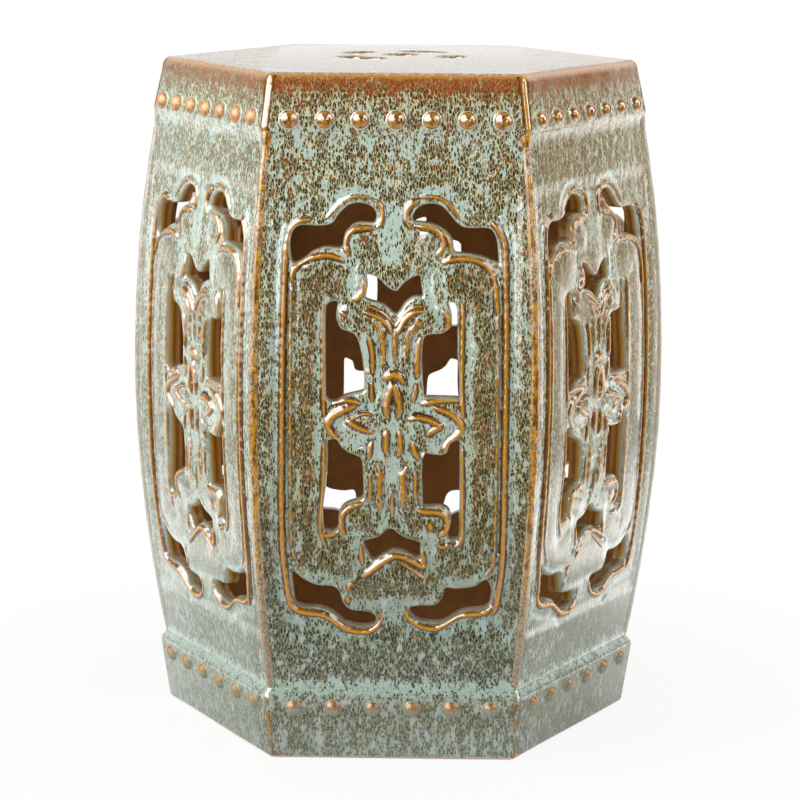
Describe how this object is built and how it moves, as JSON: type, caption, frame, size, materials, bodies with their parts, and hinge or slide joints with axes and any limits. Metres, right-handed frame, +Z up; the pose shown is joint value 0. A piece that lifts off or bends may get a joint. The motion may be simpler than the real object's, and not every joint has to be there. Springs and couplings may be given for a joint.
{
  "type": "ceramic garden stool",
  "caption": "Six-sided barrel garden stool in speckled teal and amber glazed stoneware, with pierced ornamental sides, knobbed bands and a flat crowned seat.",
  "frame": {"origin": "middle of the foot, at floor level", "axes": "+Z up; -Y is the front side, which is flat on to the viewer; two of the six corners lie on the X axis"},
  "size_m": [0.3804, 0.3304, 0.4724],
  "materials": {
    "side_glaze": "gloss speckled teal glaze breaking amber on the relief",
    "collar_glaze": "gloss speckled teal glaze with a rust brown rim",
    "base_glaze": "gloss speckled grey teal glaze, bare clay at the foot",
    "seam_glaze": "gloss amber glaze with teal between",
    "knob_glaze": "gloss amber glaze",
    "seat_glaze": "gloss speckled grey teal glaze"
  },
  "bodies": {
    "root": {"seat_top": "seat_glaze", "side_panel_front": "side_glaze", "side_panel_front_right": "side_glaze", "side_panel_back_right": "side_glaze", "side_panel_back": "side_glaze", "side_panel_back_left": "side_glaze", "side_panel_front_left": "side_glaze", "collar_band_front": "collar_glaze", "collar_band_front_right": "collar_glaze", "collar_band_back_right": "collar_glaze", "collar_band_back": "collar_glaze", "collar_band_back_left": "collar_glaze", "collar_band_front_left": "collar_glaze", "base_band_front": "base_glaze", "base_band_front_right": "base_glaze", "base_band_back_right": "base_glaze", "base_band_back": "base_glaze", "base_band_back_left": "base_glaze", "base_band_front_left": "base_glaze", "upper_knobs_front": "knob_glaze", "upper_knobs_front_right": "knob_glaze", "upper_knobs_back_right": "knob_glaze", "upper_knobs_back": "knob_glaze", "upper_knobs_back_left": "knob_glaze", "upper_knobs_front_left": "knob_glaze", "lower_knobs_front": "knob_glaze", "lower_knobs_front_right": "knob_glaze", "lower_knobs_back_right": "knob_glaze", "lower_knobs_back": "knob_glaze", "lower_knobs_back_left": "knob_glaze", "lower_knobs_front_left": "knob_glaze", "seam_roll_right": "seam_glaze", "seam_roll_back_right": "seam_glaze", "seam_roll_back_left": "seam_glaze", "seam_roll_left": "seam_glaze", "seam_roll_front_left": "seam_glaze", "seam_roll_front_right": "seam_glaze"}
  },
  "joints": []
}
